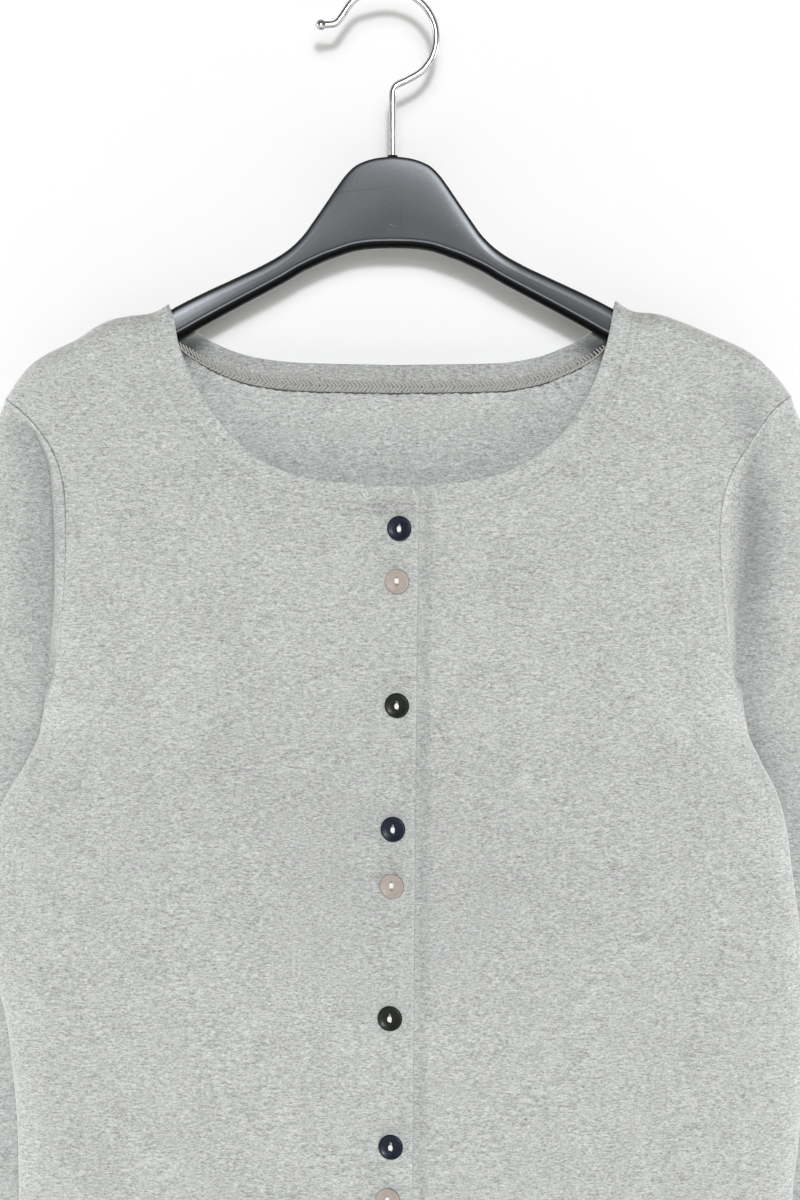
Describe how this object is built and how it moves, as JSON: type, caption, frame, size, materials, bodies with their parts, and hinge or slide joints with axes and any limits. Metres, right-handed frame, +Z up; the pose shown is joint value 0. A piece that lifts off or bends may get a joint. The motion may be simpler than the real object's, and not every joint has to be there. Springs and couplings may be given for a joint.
{
  "type": "button cardigan on a hanger",
  "caption": "Fine grey jersey long-sleeve button cardigan with a round scoop neck, hanging buttoned on a moulded plastic hanger with a wire hook.",
  "frame": {"origin": "inside top of the hook, where the rail bears", "axes": "+Z up; the buttoned front faces -Y; the wearer's right is -X and left is +X"},
  "size_m": [0.516, 0.0947, 0.7567],
  "materials": {
    "cardigan_jersey": "light heather grey fine jersey, matt",
    "button_navy": "dark navy, satin gloss",
    "button_beige": "beige, satin gloss",
    "button_olive": "very dark olive, satin gloss",
    "hanger_plastic": "black moulded plastic, satin, lightly scuffed",
    "hook_chrome": "polished wire"
  },
  "bodies": {
    "root": {"front_right": "cardigan_jersey", "front_left": "cardigan_jersey", "back": "cardigan_jersey", "sleeve_right": "cardigan_jersey", "sleeve_left": "cardigan_jersey", "back_neck_facing": "cardigan_jersey", "button_01": "button_navy", "button_02": "button_beige", "button_03": "button_olive", "button_04": "button_navy", "button_05": "button_beige", "button_06": "button_olive", "button_07": "button_navy", "button_08": "button_beige", "button_09": "button_olive", "button_10": "button_navy", "button_11": "button_beige", "hanger_body": "hanger_plastic", "hanger_hook": "hook_chrome"}
  },
  "joints": []
}
